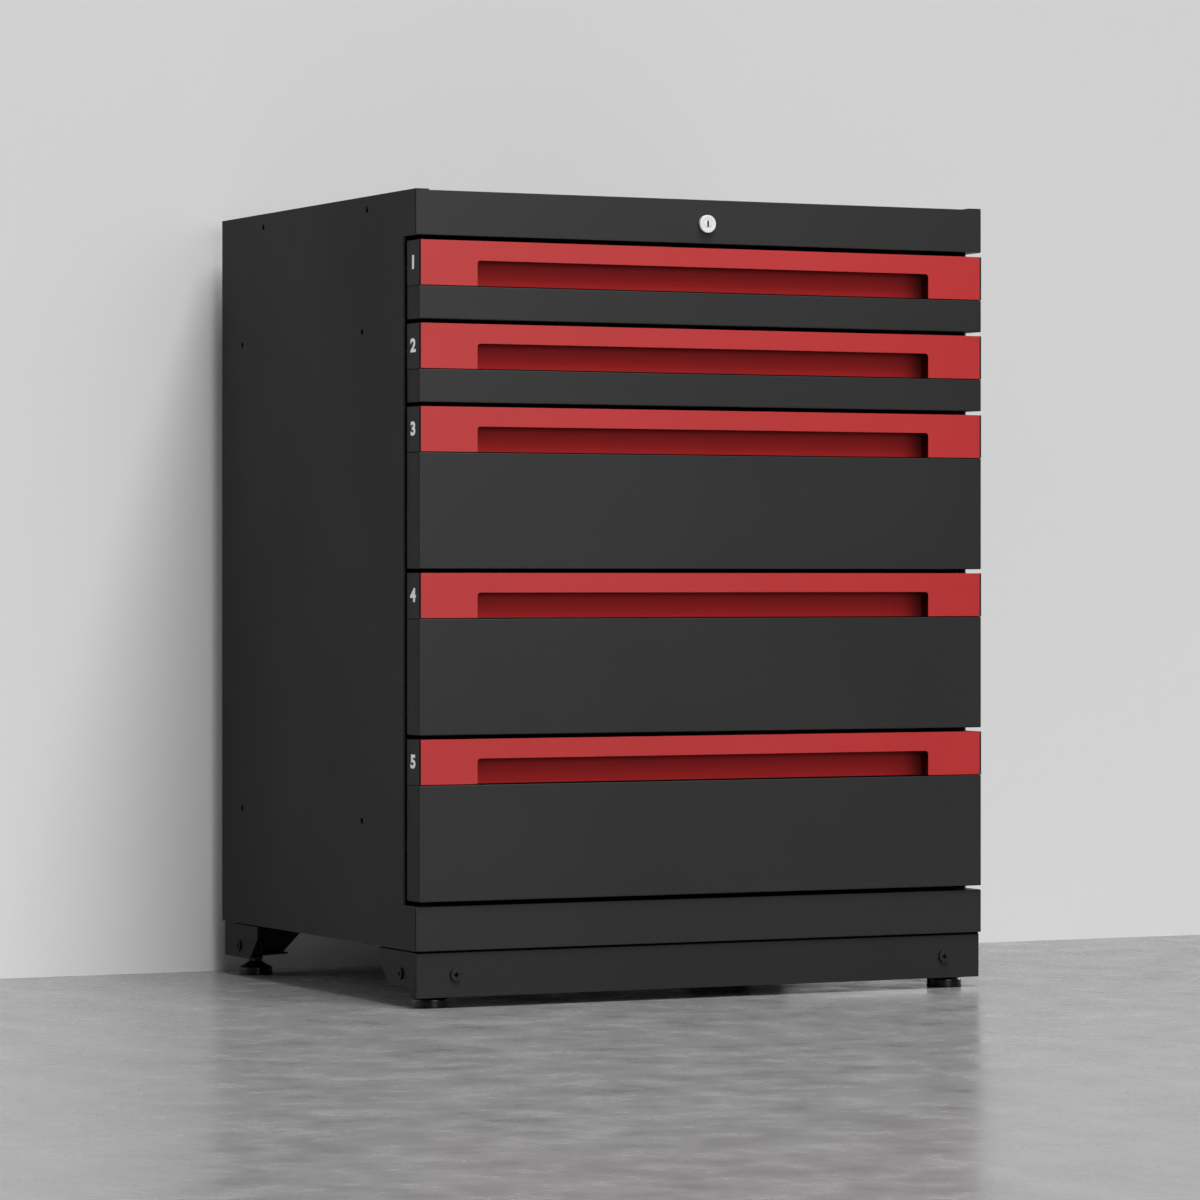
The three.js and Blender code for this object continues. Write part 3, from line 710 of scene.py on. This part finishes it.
# -------------------------------------------------------------------- feet
FEET = {}
for end in ("front", "rear"):
    for side in ("left", "right"):
        c = middle(f"foot_pad_{end}_{side}")
        FEET[f"{end}_{side}"] = (c.x / MM + WIDTH / 2, c.y / MM + Y_SHIFT)
for k, (x, y) in FEET.items():
    pad = lathe(
        [
            (0, 0.6), (15.0, 0.6), (15.5, 0), (21.3, 0), (21.75, 0.15), (21.95, 0.5), (22.0, 1.2),
            (22.0, 3.1), (21.55, 3.35), (21.55, 3.85), (22.0, 4.1), (22.0, 6.3), (21.55, 6.55),
            (21.55, 7.05), (22.0, 7.3), (22.0, 8.9), (21.85, 9.6), (21.4, 10.1), (20.7, 10.5), (14.0, 13.9), (11.5, 15.5),
            (10.0, 16.7), (9.4, 17.3), (9.0, 17.5), (7.0, 17.5), (7.0, 10.4), (0, 10.4),
        ],
        72,
    )
    o = to_object(pad, f"foot_pad_{k}_fine", Matrix.Translation(at(x, y, 0)), 24)
    dress(o, "foot_" + k, "foot_plastic", [f"foot_pad_{k}"])

    # ball, hexagon and threaded rod as one turned and milled piece
    bm = lathe(
        [(0, 10.7), (3.4, 11.2), (5.2, 12.6), (5.8, 14.4), (5.4, 16.2), (4.9, 17.4), (4.9, 18.5), (0, 18.5)], 40
    )
    ball = to_object(bm, f"foot_ball_{k}", Matrix.Translation(at(x, y, 0)))
    dress(ball, "stem_" + k, "stem_steel")
    bm = bmesh.new()
    bmesh.ops.create_cone(
        bm, cap_ends=True, segments=6, radius1=9.45 * MM, radius2=9.45 * MM, depth=6 * MM,
        matrix=Matrix.Translation((0, 0, 21.2 * MM)) @ Matrix.Rotation(math.radians(30), 4, "Z"),
    )
    layer = bm.edges.layers.float.new("bevel_weight_edge")
    for e in bm.edges:
        e.smooth = False
        e[layer] = 0.35
    mesh = bpy.data.meshes.new("hex")
    bm.to_mesh(mesh)
    bm.free()
    hexagon = link(f"foot_hexagon_{k}", mesh)
    bevelled(hexagon, 2.0 * MM, 3)
    hexagon.data.transform(Matrix.Translation(at(x, y, 0)))
    dress(hexagon, "stem_" + k, "stem_steel")
    # thread: a helical ridge drawn out of a turned rod
    turns, per, r0, r1, z0 = 23, 20, 5.35, 5.95, 24.3
    bm = bmesh.new()
    pitch = 1.75
    rows = []
    for s in range(turns * per + 1):
        a = 2 * math.pi * s / per
        zc = z0 + pitch * s / per
        rows.append(
            [
                bm.verts.new((r * MM * math.cos(a), r * MM * math.sin(a), z * MM))
                for r, z in ((r0, zc), (r1, zc + 0.75), (r1, zc + 1.0), (r0, zc + pitch))
            ]
        )
    for p, q in zip(rows, rows[1:]):
        for j in range(3):
            bm.faces.new((p[j], q[j], q[j + 1], p[j + 1]))
    bmesh.ops.remove_doubles(bm, verts=bm.verts, dist=5e-6)
    core = lathe([(0, z0 - 0.3), (r0, z0 - 0.3), (r0, 64.2), (r0 - 0.8, 65.0), (0, 65.0)], 40)
    core_mesh = bpy.data.meshes.new("core")
    core.to_mesh(core_mesh)
    core.free()
    bm.from_mesh(core_mesh)
    thread = to_object(bm, f"foot_thread_{k}", Matrix.Translation(at(x, y, 0)), 30)
    dress(thread, "stem_" + k, "stem_steel")
    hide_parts(f"foot_stem_{k}")

# -------------------------------------------------------------------- lock
LOCK = at(391, 0, 954)
bm = lathe(
    [
        (5.62, 4.97), (5.7, 5.0), (10.5, 5.0), (10.8, 4.94), (10.95, 4.75), (11.0, 4.45),
        (11.0, 0.3), (9.5, 0.3), (9.5, -20.0), (5.9, -20.0), (5.9, 3.0), (5.6, 2.8), (5.6, 4.9),
    ],
    80,
)
o = to_object(bm, "lock_barrel_fine", facing((0, -1, 0), LOCK), 30)


def satin_front(obj):
    """The flat front of a lock piece is satin, its turned sides are polished."""
    obj.data.materials.append(MAT["lock_chrome"])
    obj.data.materials.append(LOCK_FACE)
    for p in obj.data.polygons:
        if p.normal.y < -0.8 and p.center.y < LOCK.y - 4.0 * MM:
            p.material_index = 1


satin_front(o)
dress(o, "cabinet", "lock_chrome", ["lock_barrel"], keep=True)

# black washer between the lock and the panel: a dark ring of painted shadow round the lock
bm = lathe([(10.6, 0.02), (12.15, 0.02), (12.2, 0.1), (12.1, 0.28), (11.9, 0.34), (10.6, 0.34)], 80)
o = to_object(bm, "lock_washer", facing((0, -1, 0), LOCK), 30)
dress(o, "cabinet", "screw_black")

bm = lathe(
    [(0, 4.98), (5.38, 4.98), (5.46, 4.94), (5.5, 4.86), (5.5, -20.4), (8.0, -20.4), (8.0, -22.8), (0, -22.8)], 72
)
plug = to_object(bm, "lock_plug_fine", facing((0, -1, 0), LOCK), 30)
bm = bmesh.new()
box_bm(bm, (-1.15 * MM, -6.2 * MM, -4.0 * MM), (1.15 * MM, -4.4 * MM + 9 * MM, 4.0 * MM))
key = to_object(bm, "keyway_cut", Matrix.Translation(LOCK))
cut_with(plug, [key])
satin_front(plug)
# the keyway's faces are black: painted shade in the slot
plug.data.materials.append(MAT["screw_black"])
for p in plug.data.polygons:
    c = p.center
    if LOCK.y - 4.9 * MM < c.y and abs(c.x - LOCK.x) < 1.3 * MM and abs(c.z - LOCK.z) < 4.2 * MM and c.y < LOCK.y + 4 * MM:
        p.material_index = 2
dress(plug, "lock_plug", "lock_chrome", ["lock_plug"], keep=True)
bm = bmesh.new()
bmesh.ops.create_cone(bm, cap_ends=True, segments=32, radius1=1.5 * MM, radius2=1.5 * MM, depth=7 * MM)
pin = to_object(bm, "lock_cam_pin", facing((0, 1, 0), LOCK + Vector((4 * MM, 26 * MM, -4 * MM))))
dress(pin, "lock_plug", "rail_zinc")


# ----------------------------------------------------------- drawer numbers
def number(text, name, matrix, size):
    curve = bpy.data.curves.new(name, "FONT")
    curve.body = text
    curve.size = size
    curve.align_x = "CENTER"
    curve.align_y = "CENTER"
    curve.extrude = 0.06 * MM
    curve.resolution_u = 8
    curve.offset = size * 0.042
    o = link(name, curve)
    o.matrix_world = matrix @ Matrix.Diagonal((1.42, 1.0, 1.0, 1.0))
    bpy.context.view_layer.update()
    dg = bpy.context.evaluated_depsgraph_get()
    mesh = bpy.data.meshes.new_from_object(o.evaluated_get(dg))
    mesh.transform(o.matrix_world)
    bpy.data.objects.remove(o)
    made = link(name, mesh)
    made.data.materials.clear()
    made.data.materials.append(WHITE_PRINT)
    return made


for i in DRAWERS:
    lo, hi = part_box(f"handle_cap_left_{i}")
    z = (lo.z + hi.z) / 2
    y = (lo.y + hi.y) / 2
    left = Matrix.Translation((lo.x - 0.02 * MM, y, z)) @ Matrix(
        ((0, 0, -1, 0), (-1, 0, 0, 0), (0, 1, 0, 0), (0, 0, 0, 1))
    )
    o = number(str(i), f"drawer_number_left_{i}", left, 22 * MM)
    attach(o, f"drawer_{i}")
    lo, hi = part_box(f"handle_cap_right_{i}")
    right = Matrix.Translation((hi.x + 0.02 * MM, y, z)) @ Matrix(
        ((0, 0, 1, 0), (1, 0, 0, 0), (0, 1, 0, 0), (0, 0, 0, 1))
    )
    o = number(str(i), f"drawer_number_right_{i}", right, 22 * MM)
    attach(o, f"drawer_{i}")

# ================================================================== stage
WALL_Y = 668.0


FLOOR_LOW, FLOOR_HIGH = (120, 120, 121), (137, 137, 138)
# the wall's colour at the top and, lighter, at the floor: painted bounce light low down
WALL_HIGH, WALL_LOW_PAINTED_BOUNCE = (208, 208, 208), (235, 235, 235)


def plane(name, corners, mat):
    mesh = bpy.data.meshes.new(name)
    mesh.from_pydata([tuple(c) for c in corners], [], [tuple(range(len(corners)))])
    o = link(name, mesh)
    o.data.materials.append(mat)
    o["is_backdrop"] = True
    return o


def floor_material():
    """Polished concrete: clouds, faint streaks and a gloss that varies with them."""
    m, nt, b = new_material("floor_polished_concrete")
    c = coords_of(nt)
    clouds = noise(nt, c, 13.0, 6.0, 0.66)
    streaks = noise(nt, c, 5.0, 6.0, 0.62, (2.2, 0.9, 1.0))
    mottle = nt.nodes.new("ShaderNodeMath")
    mottle.operation = "MULTIPLY_ADD"
    mottle.inputs[1].default_value = 0.5
    nt.links.new(clouds, mottle.inputs[0])
    half = nt.nodes.new("ShaderNodeMath")
    half.operation = "MULTIPLY"
    half.inputs[1].default_value = 0.5
    nt.links.new(streaks, half.inputs[0])
    nt.links.new(half.outputs[0], mottle.inputs[2])
    nt.links.new(
        mix_color(nt, remap(nt, mottle.outputs[0], 0, 1, 0.36, 0.64), srgb(*FLOOR_LOW), srgb(*FLOOR_HIGH)),
        b.inputs["Base Color"],
    )
    nt.links.new(remap(nt, clouds, 0.12, 0.34), b.inputs["Roughness"])
    b.inputs["Specular IOR Level"].default_value = 0.045
    bump = nt.nodes.new("ShaderNodeBump")
    bump.inputs["Strength"].default_value = 0.2
    bump.inputs["Distance"].default_value = 0.0008
    nt.links.new(noise(nt, c, 26.0, 4.0, 0.6), bump.inputs["Height"])
    nt.links.new(bump.outputs["Normal"], b.inputs["Normal"])
    return m


def wall_material():
    """Matt wall paint, a little lighter towards the floor as painted bounce light, with a faint roller texture.
    """
    m, nt, b = new_material("wall_pale")
    c = coords_of(nt)
    split = nt.nodes.new("ShaderNodeSeparateXYZ")
    nt.links.new(c, split.inputs[0])
    # lighter towards the floor over the lowest 1.4 m: painted bounce light
    low = remap(nt, split.outputs[2], 1.0, 0.0, 0.0, 1.4)
    slow = noise(nt, c, 1.5, 3.0, 0.5)
    fac = nt.nodes.new("ShaderNodeMath")
    fac.operation = "MULTIPLY_ADD"
    fac.inputs[1].default_value = 0.08
    nt.links.new(slow, fac.inputs[0])
    nt.links.new(low, fac.inputs[2])
    nt.links.new(
        mix_color(nt, fac.outputs[0], srgb(*WALL_HIGH), srgb(*WALL_LOW_PAINTED_BOUNCE)),
        b.inputs["Base Color"],
    )
    b.inputs["Roughness"].default_value = 0.9
    bump = nt.nodes.new("ShaderNodeBump")
    bump.inputs["Strength"].default_value = 0.05
    bump.inputs["Distance"].default_value = 0.0003
    nt.links.new(noise(nt, c, 160.0, 3.0, 0.6), bump.inputs["Height"])
    nt.links.new(bump.outputs["Normal"], b.inputs["Normal"])
    # the wall has a front only: seen from behind it, the cabinet's back is in view
    side = nt.nodes.new("ShaderNodeNewGeometry")
    clear = nt.nodes.new("ShaderNodeBsdfTransparent")
    mix = nt.nodes.new("ShaderNodeMixShader")
    out = next(n for n in nt.nodes if n.type == "OUTPUT_MATERIAL")
    nt.links.new(side.outputs["Backfacing"], mix.inputs[0])
    nt.links.new(b.outputs["BSDF"], mix.inputs[1])
    nt.links.new(clear.outputs[0], mix.inputs[2])
    nt.links.new(mix.outputs[0], out.inputs["Surface"])
    return m


FAR = 12000
plane(
    "floor",
    [at(-FAR, -FAR, 0), at(FAR, -FAR, 0), at(FAR, FAR, 0), at(-FAR, FAR, 0)],
    floor_material(),
)
plane(
    "wall",
    [at(-FAR, WALL_Y, 0), at(FAR, WALL_Y, 0), at(FAR, WALL_Y, 7000), at(-FAR, WALL_Y, 7000)],
    wall_material(),
)

# ------------------------------------------------------------------ camera
cam = bpy.data.cameras.new("camera")
cam.sensor_width = 36.0
cam.lens = 151.18
cam.shift_y = -22.0 / 1200.0
cam.clip_end = 100.0
camera = bpy.data.objects.new("camera", cam)
camera.location = at(-2451.7, -5523.9, 517.8)
camera.rotation_euler = (math.radians(90), 0, math.radians(-26.023))
bpy.context.scene.collection.objects.link(camera)
bpy.context.scene.camera = camera


# ------------------------------------------------------------------ lights
def area(name, where, target, size, power, color=(1, 1, 1), size_y=None):
    light = bpy.data.lights.new(name, "AREA")
    light.energy = power
    light.color = color
    light.size = size
    if size_y:
        light.shape = "RECTANGLE"
        light.size_y = size_y
    o = bpy.data.objects.new(name, light)
    o.location = where
    o.rotation_euler = (Vector(target) - Vector(where)).to_track_quat("-Z", "Y").to_euler()
    bpy.context.scene.collection.objects.link(o)
    return o


area("overhead", (0.35, -3.6, 9.0), (0, 0, 0.5), 3.9, 1040)
area("high_front", (-1.8, -7.0, 8.5), (0, 0, 0.5), 3.4, 110)
area("front_far", (-0.1, -8.0, 2.2), (0, 0, 0.5), 3.4, 80)
area("front_right", (1.1, -5.8, 1.9), (0, 0, 0.7), 2.2, 27)
area("left", (-5.4, 0.0, 3.0), (0, 0.1, 0.2), 2.4, 68)

# two lights behind the wall for the cabinet's back, which the wall neither takes nor blocks
back_pieces = bpy.data.collections.new("back_pieces")
right_pieces = bpy.data.collections.new("right_pieces")
solid_pieces = bpy.data.collections.new("solid_pieces")
for o in bpy.context.scene.objects:
    if o.type == "MESH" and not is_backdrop(o):
        solid_pieces.objects.link(o)
        if o.name.startswith(("back_", "rear_screw_", "leg_bracket_rear_right")):
            back_pieces.objects.link(o)
        right = "_right" in o.name and not o.name.startswith(("kick_", "runner_", "middle_"))
        if right or o.name.startswith("drawer_front_"):
            right_pieces.objects.link(o)
for name, where, power in (("behind_left", (-3.4, 6.4, 4.2), 780), ("behind_right", (4.0, 6.0, 2.6), 330)):
    o = area(name, where, (0, 0, 0.5), 3.5, power)
    o.light_linking.receiver_collection = back_pieces
    o.light_linking.blocker_collection = solid_pieces
# a soft fill for the side that faces away from the camera
o = area("right_side", (5.4, 1.5, 3.2), (0.4, 0, 0.5), 2.8, 400)
o.light_linking.receiver_collection = right_pieces
o.light_linking.blocker_collection = solid_pieces

# the world's own light is faint; seen directly, it is a pale backdrop
world = bpy.data.worlds.new("world")
bpy.context.scene.world = world
world.use_nodes = True
wt = world.node_tree
wt.nodes.clear()
faint = node(wt, "ShaderNodeBackground", Strength=0.02)
pale = node(wt, "ShaderNodeBackground", Strength=0.6)
for n in (faint, pale):
    n.inputs["Color"].default_value = (1, 1, 1, 1)
seen = wt.nodes.new("ShaderNodeLightPath")
both = wt.nodes.new("ShaderNodeMixShader")
wt.links.new(seen.outputs["Is Camera Ray"], both.inputs[0])
wt.links.new(faint.outputs[0], both.inputs[1])
wt.links.new(pale.outputs[0], both.inputs[2])
wt.links.new(both.outputs[0], wt.nodes.new("ShaderNodeOutputWorld").inputs["Surface"])
bpy.context.scene.view_settings.view_transform = "Standard"
